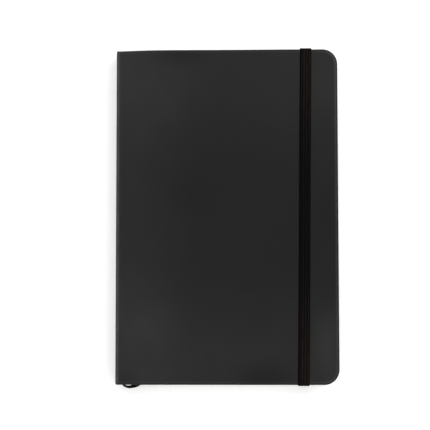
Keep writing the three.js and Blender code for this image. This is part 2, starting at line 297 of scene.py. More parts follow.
def mat_leatherette(name="soft_touch_leatherette"):
    m, nt, b = material(name)
    N = Nodes(nt)
    o = N.mapping()
    slant = N.mapping(scale=(1.0, 0.6, 1.0), rotation=(0, 0, math.radians(34)))
    # painted sheen and shade: the coat is painted lighter along the spine, the head and the tail, least in the middle,
    # with listed spots on the front painted lighter or darker, standing in for reflected light; broad noise patches add
    # random tone
    sep = N.new("ShaderNodeSeparateXYZ")
    N.link(o, sep.inputs[0])
    px, py, pz = sep.outputs["X"], sep.outputs["Y"], sep.outputs["Z"]
    ends = N.smooth(N.math("ABSOLUTE", py), 0.026, 0.088)
    left = N.smooth(px, -0.012, -0.062)
    broad = N.noise(slant, 15.0, detail=2.0, rough=0.45, distortion=0.4)
    patch = N.range(broad, 0.34, 0.66, -0.45, 0.45)
    painted_sheen = N.math("ADD", N.math("MULTIPLY", ends, 0.50), N.math("MULTIPLY", left, 0.60))
    painted_sheen = N.math("ADD", painted_sheen, N.math("MULTIPLY", patch, 0.42))
    painted_sheen_spots = None
    # spots of painted light and shade on the front cover: centre x, y, radii x, y, amount
    for cx, cy, rx, ry, amount in ((-30, 106, 26, 17, -0.75), (24, -104, 30, 20, -0.80), (63, -80, 13, 34, 0.75),
                                   (-50, -70, 30, 26, 0.45), (-22, 12, 24, 24, -0.20), (62, 0, 12, 26, -0.25),
                                   (62, 85, 16, 26, 0.25), (-64, -104, 14, 12, -0.5)):
        dx = N.math("DIVIDE", N.math("SUBTRACT", px, cx * MM), rx * MM)
        dy = N.math("DIVIDE", N.math("SUBTRACT", py, cy * MM), ry * MM)
        r2 = N.math("SQRT", N.math("ADD", N.math("MULTIPLY", dx, dx), N.math("MULTIPLY", dy, dy)))
        one = N.math("MULTIPLY", N.smooth(r2, 1.0, 0.0), amount)
        painted_sheen_spots = one if painted_sheen_spots is None else N.math("ADD", painted_sheen_spots, one)
    front = N.smooth(pz, 0.007, 0.010)
    painted_sheen = N.math("ADD", painted_sheen, N.math("MULTIPLY", front, painted_sheen_spots))
    # distance from the edge of the cover, along the head, the fore edge, the tail and the round corners
    rc = R_FORE * MM
    qx = N.math("MAXIMUM", N.math("SUBTRACT", px, X1 * MM - rc), 0.0)
    qy = N.math("MAXIMUM", N.math("SUBTRACT", N.math("ABSOLUTE", py), Y1 * MM - rc), 0.0)
    e = N.math("SUBTRACT", rc, N.math("SQRT", N.math("ADD", N.math("MULTIPLY", qx, qx), N.math("MULTIPLY", qy, qy))))
    es = N.math("SUBTRACT", px, X0 * MM)
    e_edge = e
    e = N.math("MINIMUM", e, es)
    # painted highlight: a light band along the rounded edges of the cover, strongest along the spine and the fore edge,
    # weaker at the head and the tail, broken up by noise
    painted_rim_highlight = N.math("MULTIPLY", N.smooth(e, 0.0028, 0.0012), N.smooth(e, 0.0003, 0.0010))
    painted_spine_highlight = N.math("MULTIPLY", N.smooth(es, 0.0024, 0.0013), N.smooth(es, 0.0004, 0.0011))
    highlight_noise = N.range(N.noise(o, 160.0, detail=3.0, rough=0.6), 0.3, 0.7, 0.55, 1.2)
    painted_rim_highlight = N.math("MULTIPLY", N.math("ADD", N.math("MULTIPLY", painted_rim_highlight, 0.26), N.math("MULTIPLY", painted_spine_highlight, 0.62)), highlight_noise)
    highlight_falloff = N.math("SUBTRACT", 1.0, N.math("MULTIPLY", N.smooth(px, 0.064, 0.056), 0.80))
    painted_rim_highlight = N.math("MULTIPLY", painted_rim_highlight, N.math("MAXIMUM", highlight_falloff, N.smooth(px, -0.0655, -0.0672)))
    # painted shade: the outermost edge and the side walls are painted near black, as if turned away from the light; the
    # same mask lowers the specular level
    painted_edge_shade = N.math("MAXIMUM", N.smooth(e_edge, 0.0011, 0.0003), N.math("MULTIPLY", N.smooth(es, 0.0006, 0.0001), 0.45))
    mid = N.noise(slant, 75.0, detail=4.0, rough=0.6)
    # the painted sheen sets the base colour, from near black to dark grey
    col = N.ramp(N.range(painted_sheen, -0.25, 1.5, 0.0, 1.0), [(0.0, (0.0046, 0.0046, 0.0046)), (0.17, (0.0064, 0.0064, 0.0064)),
                                                     (0.50, (0.0120, 0.0119, 0.0118)), (1.0, (0.0215, 0.0213, 0.0210))])
    fleck = N.noise(o, 900.0, detail=5.0, rough=0.7)
    col = N.mix(N.range(fleck, 0.45, 0.80, 0.0, 0.30), col, (0.0170, 0.0168, 0.0166))
    col = N.mix(N.range(mid, 0.4, 0.7, 0.0, 0.18), col, (0.0050, 0.0050, 0.0050))
    # painted highlight mixed into the colour along the edges
    col = N.mix(painted_rim_highlight, col, (0.050, 0.0498, 0.0495))
    # painted shade mixed into the colour on the edges and walls
    col = N.mix(painted_edge_shade, col, (0.0030, 0.0030, 0.0030))
    N.link(col, b.inputs["Base Color"])
    N.link(N.range(painted_edge_shade, 0.0, 1.0, 0.19, 0.10), b.inputs["Specular IOR Level"])
    r = N.math("ADD", N.range(broad, 0.3, 0.7, 0.34, 0.28), N.range(fleck, 0.3, 0.7, -0.03, 0.04))
    N.link(r, b.inputs["Roughness"])
    # very fine pebble grain with a few pores, over slow undulation of the board
    grain = N.voronoi(o, 2100.0, feature="SMOOTH_F1")
    pores = N.noise(o, 3300.0, detail=2.0, rough=0.5)
    n1 = N.bump(N.noise(slant, 17.0, detail=1.0), 1.0, 0.0012)
    n2 = N.bump(grain, 0.10, 0.00005, n1)
    n3 = N.bump(pores, 0.08, 0.00004, n2)
    N.link(n3, b.inputs["Normal"])
    b.inputs["Sheen Weight"].default_value = 0.02
    b.inputs["Sheen Roughness"].default_value = 0.5
    return m


def mat_elastic():
    m, nt, b = material("ribbed_elastic")
    N = Nodes(nt)
    uv = N.mapping("UV")
    # u runs across the band from 0 to 1, v along it in millimetres / 10
    sep = N.new("ShaderNodeSeparateXYZ")
    N.link(uv, sep.inputs[0])
    u = sep.outputs["X"]
    # painted highlight and shade: the rib crests are painted lighter, more towards the ends of the band than in its
    # middle, and the band's edges are painted near black as a shadow line
    rib = N.math("POWER", N.math("ABSOLUTE", N.math("SINE", N.math("MULTIPLY", u, 4 * math.pi))), 1.3)
    inner = N.math("MULTIPLY", N.smooth(u, 0.10, 0.19), N.smooth(u, 0.965, 0.88))
    weft = N.wave(uv, 5.2, direction="Y", profile="SIN", distortion=0.4, detail_scale=2.0)
    warp = N.wave(uv, 17.0 / 3.14159, direction="X", profile="SIN")
    fuzz = N.noise(N.mapping("UV", scale=(40, 60, 1)), 1.0, detail=5.0, rough=0.7)
    rib_highlight_noise = N.noise(N.mapping("UV", scale=(5, 1.1, 1)), 1.0, detail=3.0, rough=0.6)
    sepo = N.new("ShaderNodeSeparateXYZ")
    N.link(N.tc.outputs["Object"], sepo.inputs[0])
    ends = N.smooth(N.math("ABSOLUTE", sepo.outputs["Y"]), 0.025, 0.100)
    painted_rib_highlight = N.math("MULTIPLY", N.math("MULTIPLY", rib, inner), N.math("ADD", N.math("MULTIPLY", ends, 0.62), 0.30))
    painted_rib_highlight = N.math("MULTIPLY", painted_rib_highlight, N.range(rib_highlight_noise, 0.3, 0.7, 0.55, 1.35))
    # painted rib highlight over a near black ground
    base = N.mix(painted_rib_highlight, (0.0007, 0.0006, 0.0005), (0.0150, 0.0116, 0.0102))
    base = N.mix(N.range(warp, 0, 1, 0.0, 0.25), base, (0.0010, 0.0009, 0.0008))
    base = N.mix(N.range(weft, 0, 1, 0.0, 0.22), base, (0.0045, 0.0041, 0.0036))
    base = N.mix(N.range(fuzz, 0.5, 0.85, 0.0, 0.25), base, (0.0090, 0.0076, 0.0066))
    N.link(base, b.inputs["Base Color"])
    N.link(N.range(fuzz, 0.3, 0.7, 0.72, 0.9), b.inputs["Roughness"])
    n1 = N.bump(weft, 0.35, 0.00008)
    n2 = N.bump(warp, 0.35, 0.0001, n1)
    n3 = N.bump(fuzz, 0.3, 0.00004, n2)
    N.link(n3, b.inputs["Normal"])
    b.inputs["Specular IOR Level"].default_value = 0.035
    b.inputs["Sheen Weight"].default_value = 0.0
    b.inputs["Sheen Roughness"].default_value = 0.45
    return m


def mat_satin():
    m, nt, b = material("satin_ribbon")
    N = Nodes(nt)
    uv = N.mapping("UV")
    weft = N.wave(uv, 9.0, direction="Y", profile="SIN", distortion=0.3)
    warp = N.wave(uv, 24.0, direction="X", profile="SIN", distortion=0.8)
    fibre = N.noise(N.mapping("UV", scale=(90, 8, 1)), 1.0, detail=4.0, rough=0.6)
    base = N.mix(N.range(fibre, 0.3, 0.7, 0, 1), (0.0012, 0.0012, 0.0013), (0.0034, 0.0033, 0.0035))
    N.link(base, b.inputs["Base Color"])
    N.link(N.range(fibre, 0.3, 0.7, 0.30, 0.46), b.inputs["Roughness"])
    n1 = N.bump(weft, 0.25, 0.00004)
    n2 = N.bump(warp, 0.25, 0.00003, n1)
    N.link(n2, b.inputs["Normal"])
    b.inputs["Specular IOR Level"].default_value = 0.05
    b.inputs["Sheen Weight"].default_value = 0.0
    b.inputs["Sheen Roughness"].default_value = 0.3
    return m


def mat_paper(name, light, dark, grain=1.0):
    m, nt, b = material(name)
    N = Nodes(nt)
    o = N.mapping()
    cloud = N.noise(o, 60.0, detail=3.0)
    fibre = N.noise(N.mapping(scale=(1, 2.6, 1), rotation=(0, 0, 0.35)), 1500.0, detail=5.0, rough=0.65)
    speck = N.noise(o, 520.0, detail=2.0, rough=0.5)
    col = N.mix(N.range(cloud, 0.3, 0.7, 0.0, 0.35), light, dark)
    col = N.mix(N.range(fibre, 0.35, 0.75, 0.0, 0.30), col, tuple(c * 0.86 for c in dark))
    col = N.mix(N.range(speck, 0.68, 0.76, 0.0, 0.35), col, tuple(c * 0.72 for c in dark))
    N.link(col, b.inputs["Base Color"])
    N.link(N.range(fibre, 0.3, 0.7, 0.82, 0.95), b.inputs["Roughness"])
    n1 = N.bump(fibre, 0.22 * grain, 0.00005)
    n2 = N.bump(speck, 0.15 * grain, 0.00008, n1)
    N.link(n2, b.inputs["Normal"])
    b.inputs["Specular IOR Level"].default_value = 0.25
    return m


def mat_greyboard():
    m, nt, b = material("greyboard")
    N = Nodes(nt)
    o = N.mapping()
    a = N.noise(o, 260.0, detail=6.0, rough=0.7)
    f = N.noise(N.mapping(scale=(1, 1, 6)), 1800.0, detail=4.0, rough=0.6)
    col = N.ramp(a, [(0.3, (0.20, 0.185, 0.165)), (0.5, (0.29, 0.27, 0.245)), (0.72, (0.38, 0.355, 0.32))])
    col = N.mix(N.range(f, 0.5, 0.8, 0, 0.5), col, (0.13, 0.12, 0.11))
    N.link(col, b.inputs["Base Color"])
    N.link(N.range(a, 0.3, 0.7, 0.86, 0.96), b.inputs["Roughness"])
    N.link(N.bump(f, 0.5, 0.0001), b.inputs["Normal"])
    return m


def mat_cloth(name, light, dark, count=1300.0):
    m, nt, b = material(name)
    N = Nodes(nt)
    o = N.mapping()
    wx = N.wave(o, count / 3.14159 / 2, direction="X", distortion=0.6, detail_scale=3.0)
    wy = N.wave(o, count / 3.14159 / 2, direction="Y", distortion=0.6, detail_scale=3.0)
    weave = N.math("MAXIMUM", wx, wy)
    slub = N.noise(N.mapping(scale=(1, 6, 1)), 260.0, detail=4.0)
    col = N.mix(N.range(weave, 0.2, 0.9, 0, 1), dark, light)
    col = N.mix(N.range(slub, 0.45, 0.75, 0, 0.3), col, dark)
    N.link(col, b.inputs["Base Color"])
    N.link(N.range(slub, 0.3, 0.7, 0.85, 0.95), b.inputs["Roughness"])
    N.link(N.bump(weave, 0.5, 0.0001), b.inputs["Normal"])
    b.inputs["Sheen Weight"].default_value = 0.15
    return m


def mat_thread():
    m, nt, b = material("linen_thread")
    N = Nodes(nt)
    v = N.mapping(rotation=(0.5, 0.5, 0.6))
    tw = N.wave(v, 1100.0, direction="DIAGONAL", distortion=0.5)
    fz = N.noise(v, 4000.0, detail=3.0)
    col = N.mix(N.range(tw, 0, 1, 0, 1), (0.62, 0.57, 0.48), (0.86, 0.82, 0.74))
    N.link(N.mix(N.range(fz, 0.4, 0.8, 0, 0.4), col, (0.5, 0.46, 0.4)), b.inputs["Base Color"])
    N.link(N.range(fz, 0.3, 0.7, 0.7, 0.9), b.inputs["Roughness"])
    N.link(N.bump(tw, 0.6, 0.0001), b.inputs["Normal"])
    return m


def mat_band():
    m, nt, b = material("woven_end_band")
    N = Nodes(nt)
    o = N.mapping()
    w = N.wave(o, 700.0, direction="Z", distortion=0.3)
    f = N.noise(o, 3000.0, detail=3.0)
    col = N.mix(N.range(w, 0.25, 0.75, 0, 1), (0.008, 0.008, 0.009), (0.034, 0.033, 0.034))
    N.link(col, b.inputs["Base Color"])
    N.link(N.range(f, 0.3, 0.7, 0.42, 0.62), b.inputs["Roughness"])
    N.link(N.bump(f, 0.3, 0.00005), b.inputs["Normal"])
    b.inputs["Sheen Weight"].default_value = 0.2
    return m


LEATHER = mat_leatherette()
ELASTIC = mat_elastic()
SATIN = mat_satin()
PAPER = mat_paper("drawing_paper", (0.84, 0.805, 0.715), (0.80, 0.760, 0.660))
ENDPAPER = mat_paper("endpaper", (0.82, 0.780, 0.680), (0.78, 0.735, 0.630), grain=0.7)
CARD = mat_paper("spine_card", (0.50, 0.45, 0.37), (0.42, 0.37, 0.30), grain=1.5)
GREY = mat_greyboard()
CLOTH = mat_cloth("gusset_cotton", (0.80, 0.77, 0.70), (0.52, 0.49, 0.43))
MULL = mat_cloth("mull_gauze", (0.74, 0.70, 0.62), (0.30, 0.27, 0.23), count=700.0)
THREAD = mat_thread()
BANDM = mat_band()


# ------------------------------------------------------------------ covers
BAND_W, BAND_T = 7.2, 0.6
BAND_X = 48.75
SLANT = 0.0109
SLOT_Y = 91.0
HW = 3.95                      # half width of the channel the elastic lies in at the back
D_SLOT0, D_SLOT1 = Y1 - SLOT_Y - 0.65, Y1 - SLOT_Y + 0.65
D_CHAN = D_SLOT1 + 0.25
LEAN = Matrix.Translation((BAND_X * MM, 0, 0)) @ Matrix.Rotation(-SLANT, 4, "Z") @ Matrix.Translation((-BAND_X * MM, 0, 0))
N_FORE, N_LONG, N_SPINE = 14, 44, 6
# lines that run in from the head and the tail, dense where the elastic's channel is
X_LINES = [-50, -36, -20, -5, 10, 24, 34, 41] + [BAND_X + q for q in (
    -HW - 0.6, -HW - 0.2, -HW - 0.05, -HW + 0.1, -HW + 0.35, -2.0, 0.0, 2.0, HW - 0.35, HW - 0.1, HW + 0.05, HW + 0.2)]
N_SHORT = len(X_LINES) + 1
K_SLOT0 = 1 + X_LINES.index(BAND_X - HW + 0.1)
K_SLOT1 = 1 + X_LINES.index(BAND_X + HW - 0.1)


def ring_table():
    """every point round the cover: side or corner, share along it, spine weight, fixed x"""
    t = [("bottom", k / N_SHORT, 0.0, None if k == 0 else X_LINES[k - 1]) for k in range(N_SHORT)]
    t += [("fb", k / N_FORE, 0.0, None) for k in range(N_FORE)]
    t += [("fore", k / N_LONG, 0.0, None) for k in range(N_LONG)]
    t += [("ft", k / N_FORE, 0.0, None) for k in range(N_FORE)]
    t += [("top", k / N_SHORT, 0.0, None if k == 0 else X_LINES[N_SHORT - 1 - k]) for k in range(N_SHORT)]
    t += [("st", k / N_SPINE, float(smooth(k / N_SPINE)), None) for k in range(N_SPINE)]
    t += [("spine", k / N_LONG, 1.0, None) for k in range(N_LONG)]
    t += [("sb", k / N_SPINE, float(1 - smooth(k / N_SPINE)), None) for k in range(N_SPINE)]
    return t


TABLE = ring_table()
KR = len(TABLE)
K_TOP = N_SHORT + N_FORE + N_LONG + N_FORE      # first entry of the head side


def ring_at(entry, d, x0, x1, y1, rf, rs):
    side, t, _, xabs = entry
    f = max(rf - d, 0.25)
    s = max(rs - d, 0.12)
    a0, a1, b = x0 + d, x1 - d, y1 - d
    if side in ("bottom", "top"):
        sign = -1 if side == "bottom" else 1
        if xabs is not None and d <= D_CHAN + 0.01:
            return min(max(xabs + SLANT * sign * b, a0 + s + 0.02), a1 - f - 0.02), sign * b
        if side == "bottom":
            return lerp(a0 + s, a1 - f, t), -b
        return lerp(a1 - f, a0 + s, t), b
    if side == "fb":
        a = -math.pi / 2 + t * math.pi / 2
        return a1 - f + f * math.cos(a), -b + f + f * math.sin(a)
    if side == "fore":
        return a1, lerp(-b + f, b - f, t)
    if side == "ft":
        a = t * math.pi / 2
        return a1 - f + f * math.cos(a), b - f + f * math.sin(a)
    if side == "st":
        a = math.pi / 2 + t * math.pi / 2
        return a0 + s + s * math.cos(a), b - s + s * math.sin(a)
    if side == "spine":
        return a0, lerp(b - s, -b + s, t)
    a = math.pi + t * math.pi / 2
    return a0 + s + s * math.cos(a), -b + s + s * math.sin(a)


def dent(x, y):
    """share of the channel's depth at a point of the back cover"""
    u = abs(x - (BAND_X + SLANT * y))
    wx = 1 - float(smooth((u - (HW - 0.1)) / 0.3))
    wy = float(smooth((abs(y) - (Y1 - D_CHAN)) / (D_CHAN - D_SLOT1)))
    return wx * wy


def ring_solid(stations, outer_count, x0=None, x1=None, y1=None, rf=R_FORE, rs=R_SPINE, flip=False, wave=None,
               channel=0.0):
    """stations: (d, z, d_spine, z_spine) from the middle of the outer face round to the middle of the inner one;
    the first outer_count of them are outside; channel is the depth of the elastic's channels and cuts the slots"""
    x0 = X0 if x0 is None else x0
    x1 = X1 if x1 is None else x1
    y1 = Y1 if y1 is None else y1
    K = KR
    top = stations[0][1]
    under = stations[-1][1]
    verts = []
    for si, (d, z, ds, zs) in enumerate(stations):
        for e in TABLE:
            w = e[2]
            dd, zz = lerp(d, ds, w), lerp(z, zs, w)
            x, y = ring_at(e, dd, x0, x1, y1, rf, rs)
            if wave is not None:
                zz += wave(x, y, dd, zz)
            if channel:
                q = channel * dent(x, y)
                if q > 0:
                    if si < outer_count:
                        if zz > top - channel - 0.05:
                            zz = min(zz, top - q)
                    elif zz > under - 1.3 and under > top - 1.0:
                        zz = min(zz, under - q)
            verts.append((x, y, zz))
    S = len(stations)
    ds_list = [round(st[0], 3) for st in stations]
    skip = {}
    faces = []
    if channel:
        io = ds_list.index(round(D_SLOT1, 3))                       # outer ring at the slot's inner end
        ii = S - 1 - ds_list[::-1].index(round(D_SLOT1, 3))         # inner ring at the same place
        spans = [range(K_SLOT0, K_SLOT1), range(K_TOP + N_SHORT - K_SLOT1, K_TOP + N_SHORT - K_SLOT0)]
        for sp in spans:
            for k in sp:
                skip[(io, k)] = True
                skip[(ii - 1, k)] = True
                faces.append((io * K + k, io * K + k + 1, ii * K + k + 1, ii * K + k))
                faces.append(((io + 1) * K + k, (ii - 1) * K + k, (ii - 1) * K + k + 1, (io + 1) * K + k + 1))
            for k in (sp[0], sp[-1] + 1):
                faces.append((io * K + k, (io + 1) * K + k, (ii - 1) * K + k, ii * K + k))
    for i in range(S - 1):
        for k in range(K):
            if (i, k) in skip:
                continue
            k2 = (k + 1) % K
            faces.append((i * K + k, (i + 1) * K + k, (i + 1) * K + k2, i * K + k2))
    # the two middles: a ladder of quads between the fore and the spine sides, and a cap at each end
    fore0 = N_SHORT + N_FORE
    spine0 = K_TOP + N_SHORT + N_SPINE
    for base in (0, (S - 1) * K):
        ids = list(range(base, base + K))
        right = [ids[fore0 + k] for k in range(N_LONG + 1)]
        left = [ids[(spine0 + N_LONG - k) % K] for k in range(N_LONG + 1)]
        for k in range(N_LONG):
            faces.append((right[k], right[k + 1], left[k + 1], left[k]))
        faces.append(tuple(ids[i % K] for i in range(spine0 + N_LONG, K + fore0 + 1)))
        faces.append(tuple(ids[i % K] for i in range(fore0 + N_LONG, spine0 + 1)))
    verts = np.array(verts)
    if flip:
        verts[:, 2] = THICK - verts[:, 2]
    return verts, faces


def arc(d0, z0, r, a0, a1, n, rz=None):
    return [(d0 + r * math.cos(a), z0 + (r if rz is None else rz) * math.sin(a)) for a in np.linspace(a0, a1, n)]


E_PLAIN, E_SPINE = (2.1, 1.25), (3.4, 1.95)     # how far the rounding of a cover's edge runs in, and down


def cover_stations(top, lip, hinge_gap):
    """outline of a cover skin in section: the same number of stations on the plain and the spine sides"""
    sk = 0.33
    (pa, pb), (sa, sb) = E_PLAIN, E_SPINE
    flat = [64, 52, 40, 30, 22, D_CHAN, D_SLOT1, D_SLOT0, 10.5, 7, 5.2, 4.4]
    plain = [(d, top) for d in flat] + [(3.2, top)]
    spine = [(d, top) for d in flat] + [(3.9, top)]
    n = 12
    plain += arc(pa, top - pb, pa, math.pi / 2, math.pi, n, pb)
    spine += arc(sa, top - sb, sa, math.pi / 2, math.pi, n, sb)
    rb = 0.42
    # wall and lower corner
    plain += [(0.0, lip + rb + 0.2)] + arc(rb, lip + rb, rb, math.pi, 1.5 * math.pi, 6)
    lowz = hinge_gap
    spine += [(0.0, lowz + 0.16)] + arc(0.1, lowz + 0.1, 0.1, math.pi, 1.5 * math.pi, 6)
    outer_count = len(plain)
    # turn-in
    plain += [(1.0, lip), (3.0, lip), (8.0, lip), (11.7, lip), (12.0, lip + 0.04), (12.0, lip + 0.22), (11.7, lip + 0.26),
              (8.0, lip + 0.27), (3.0, lip + 0.27), (1.0, lip + 0.27)]
    spine += [(0.36, lowz), (0.44, lip), (2.5, lip), (3.7, lip), (4.0, lip + 0.04), (4.0, lip + 0.22), (3.7, lip + 0.26),
              (2.5, lip + 0.27), (1.2, lip + 0.27), (0.75, lip + 0.27)]
    # inside of the wall and of the face
    plain += [(0.42, lip + 0.30), (0.34, lip + 0.42), (0.33, top - pb)]
    spine += [(0.46, lip + 0.28), (0.38, lip + 0.34), (0.34, top - sb - 0.02)]
    plain += arc(pa, top - pb, pa - sk, math.pi, math.pi / 2, 8, pb - sk)[1:]
    spine += arc(sa, top - sb, sa - sk, math.pi, math.pi / 2, 8, sb - sk)[1:]
    plain += [(3.2, top - sk)] + [(d, top - sk) for d in reversed(flat)]
    spine += [(3.9, top - sk)] + [(d, top - sk) for d in reversed(flat)]
    return [(a[0], a[1], b[0], b[1]) for a, b in zip(plain, spine)], outer_count


def cover_wave(seed, top):
    r = np.random.default_rng(seed)
    comps = []
    for _ in range(9):
        ang = r.uniform(0.3, 1.1)
        lam = r.uniform(38, 110)
        comps.append((math.cos(ang) * 2 * math.pi / lam, math.sin(ang) * 2 * math.pi / lam, r.uniform(0, 6.28)))

    def wave(x, y, d, z):
        if z < top - 0.6:
            return 0.0
        fade = float(smooth((d - 1.5) / 9.0))
        s = sum(math.sin(a * x + b * y + p) for a, b, p in comps) / len(comps)
        return -0.05 * fade * (0.5 + 0.9 * s)
    return wave


HEAD_X = [-70, -68.5, -66.5, -64, -61, -57, -53, -47, -37, -25, -12, 6, 40, 50, 70]
HEAD_DY = [-0.54, -0.46, -0.48, -0.20, -0.08, 0.0, 0.06, 0.10, 0.17, 0.15, 0.08, 0.02, 0.08, -0.04, 0.0]


def head_line(v):
    """the head edge of the front cover is not quite straight: it drops towards the spine"""
    v = np.array(v)
    v[:, 1] += np.interp(v[:, 0], HEAD_X, HEAD_DY) * smooth((v[:, 1] - 90.0) / 13.0)
    return v


st, oc = cover_stations(THICK, Z_FRONT_LIP, Z_HF + 0.02)
v, f = ring_solid(st, oc, wave=cover_wave(3, THICK))
v = head_line(v)
front_skin = new_mesh("front_cover_leatherette", v, f, LEATHER, angle=50)
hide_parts("front_cover_skin")
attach(front_skin, "front_cover")

# the back skin is the same form turned over, with its hinge line at the back hinge, two channels
# pressed into it for the elastic and a slot at the end of each
st, oc = cover_stations(THICK, THICK - Z_BACK_LIP, THICK - Z_HB + 0.02)
v, f = ring_solid(st, oc, flip=True, channel=0.7)
back_skin = new_mesh("back_cover_leatherette", v, f, LEATHER, angle=50)
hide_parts("back_cover_skin")
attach(back_skin, "back_cover")


def board_stations(z0, z1):
    flat = [62, 40, 22, D_CHAN, D_SLOT1, D_SLOT0, 10.5, 6]
    (pa, pb), (sa, sb) = (1.9, 0.95), (3.0, 1.1)
    s = [(d, z1) for d in flat] + [(3.0, z1)]
    s += arc(0.45 + pa, z1 - pb, pa, math.pi / 2, math.pi, 6, pb)
    s += arc(0.45 + 0.25, z0 + 0.25, 0.25, math.pi, 1.5 * math.pi, 5)
    s += [(1.3, z0)] + [(d, z0) for d in reversed(flat)]
    p = [(d, z1) for d in flat] + [(4.4, z1)]
    p += arc(0.60 + sa, z1 - sb, sa, math.pi / 2, math.pi, 6, sb)
    p += arc(0.60 + 0.25, z0 + 0.25, 0.25, math.pi, 1.5 * math.pi, 5)
    p += [(1.3, z0)] + [(d, z0) for d in reversed(flat)]
    return [(a[0], a[1], b[0], b[1]) for a, b in zip(s, p)], len(flat) + 7


fb = nbox("front_board")
st, oc = board_stations(fb[0][2], fb[1][2])
v, f = ring_solid(st, oc, rs=1.0)
v = head_line(v)
front_board = new_mesh("front_greyboard", v, f, GREY, angle=40)
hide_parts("front_board")
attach(front_board, "front_cover")
bb = nbox("back_board")
st, oc = board_stations(THICK - bb[0][2] - 1.45, THICK - bb[0][2])
v, f = ring_solid(st, oc, rs=1.0, flip=True, channel=0.7)
back_board = new_mesh("back_greyboard", v, f, GREY, angle=40)
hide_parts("back_board")
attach(back_board, "back_cover")
eb = nbox("elastic_band")

# ------------------------------------------------------------------ spine
z_s0, z_s1 = Z_HB + 0.02, Z_HF - 0.02


def spine_skin():
    t = 0.34
    inner = X0 + 1.50
    outer = X0 + t / 2
    yr = Y1 - t / 2
    r = (inner - outer) / 2
    path = [(inner, 101.9), (inner, yr - r)]
    path += [(X0 + t / 2 + r + r * math.cos(a), yr - r + r * math.sin(a)) for a in np.linspace(0.15, math.pi, 9)]
    path += [(outer, y) for y in np.linspace(yr - r - 3, -(yr - r - 3), 40)]
    path += [(X0 + t / 2 + r + r * math.cos(a), -(yr - r) + r * math.sin(a)) for a in np.linspace(math.pi, 2 * math.pi - 0.15, 9)]
    path += [(inner, -(yr - r)), (inner, -101.9)]
    path = np.array(path)
    zs = [z_s0, z_s0 + 0.12, z_s0 + 0.5, (z_s0 + z_s1) / 2, z_s1 - 0.5, z_s1 - 0.12, z_s1]
    inset = [0.07, 0.0, 0.0, 0.0, 0.0, 0.0, 0.07]
    P = np.zeros((len(path), len(zs), 3))
    Nn = np.zeros_like(P)
    th = np.zeros((len(path), len(zs)))
    for i in range(len(path)):
        a, b = path[max(i - 1, 0)], path[min(i + 1, len(path) - 1)]
        d = (b - a) / np.linalg.norm(b - a)
        n = np.array([-d[1], d[0]])
        for j, z in enumerate(zs):
            P[i, j] = (path[i][0], path[i][1], z)
            Nn[i, j] = (n[0], n[1], 0)
            th[i, j] = t - 2 * inset[j]
    v, f = sheet_solid(P, Nn, th)
    ob = new_mesh("spine_leatherette", v, f, LEATHER, angle=50)
    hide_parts("spine_skin")
    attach(ob, "text_block")


spine_skin()

# ------------------------------------------------------------------ endpapers (board paper, fold over the joint)
rowy, rowx = rows(PY1, PX1, R_PAPER, n=9, mid=9)


def swept_sheet(name, path, t, mat, y1=PY1, x1=PX1, r=R_PAPER, jitter=None):
    """path: (x, z) points; entries with x None and a share 0..1 run on to the fore edge of each row"""
    ys, xs = rows(y1, x1, r, n=9, mid=9)
    U = len(path)
    P = np.zeros((U, len(ys), 3))
    xlast = [p[0] for p in path if p[0] is not None][-1]
    for i, (x, z, share) in enumerate([(p + (None,))[:3] for p in path]):
        for j in range(len(ys)):
            xx = x if x is not None else lerp(xlast, xs[j], share)
            P[i, j] = (xx, ys[j], z)
    T = np.gradient(P, axis=0)
    Nn = np.zeros_like(P)
    Nn[..., 0] = -T[..., 2]
    Nn[..., 2] = T[..., 0]
    Nn /= np.linalg.norm(Nn, axis=2, keepdims=True)
    v, f = sheet_solid(P, Nn, t)
    return new_mesh(name, v, f, mat, angle=40)


zp = (nbox("front_pastedown")[0][2] + nbox("front_pastedown")[1][2]) / 2
zf = (nbox("front_flyleaf")[0][2] + nbox("front_flyleaf")[1][2]) / 2
fold = [(X0 + 0.50 + 0.075 + 0.075 * math.cos(a), Z_HF + 0.005 + 0.085 * math.sin(a)) for a in np.linspace(-math.pi / 2, -1.5 * math.pi, 9)]
path = [(PX0 - 0.12, zf), (PX0 - 0.6, zf + 0.01), (X0 + 1.4, zf + 0.035), (X0 + 0.9, Z_HF - 0.08)] + fold + \
       [(X0 + 0.9, Z_HF + 0.09), (X0 + 1.4, zp - 0.02), (X0 + 2.2, zp), (X0 + 6, zp), (X0 + 20, zp)] + \
       [(None, zp, s) for s in (0.2, 0.4, 0.6, 0.8, 0.95, 1.0)]
front_end = swept_sheet("front_endpaper", path, 0.11, ENDPAPER)
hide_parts("front_pastedown")
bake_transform(front_end)

zpb = (nbox("back_pastedown")[0][2] + nbox("back_pastedown")[1][2]) / 2
zfb = (nbox("back_flyleaf")[0][2] + nbox("back_flyleaf")[1][2]) / 2
fold = [(X0 + 0.50 + 0.075 + 0.075 * math.cos(a), Z_HB - 0.005 + 0.085 * math.sin(a)) for a in np.linspace(math.pi / 2, 1.5 * math.pi, 9)]
path = [(PX0 - 0.12, zfb), (PX0 - 0.5, zfb - 0.12), (X0 + 1.5, zfb - 0.62), (X0 + 0.95, Z_HB + 0.12)] + fold + \
       [(X0 + 0.9, Z_HB - 0.09), (X0 + 1.4, zpb + 0.01), (X0 + 2.2, zpb), (X0 + 6, zpb), (X0 + 20, zpb)] + \
       [(None, zpb, s) for s in (0.2, 0.4, 0.6, 0.8, 0.95, 1.0)]
back_end = swept_sheet("back_endpaper", path, 0.11, ENDPAPER)
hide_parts("back_pastedown")
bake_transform(back_end)


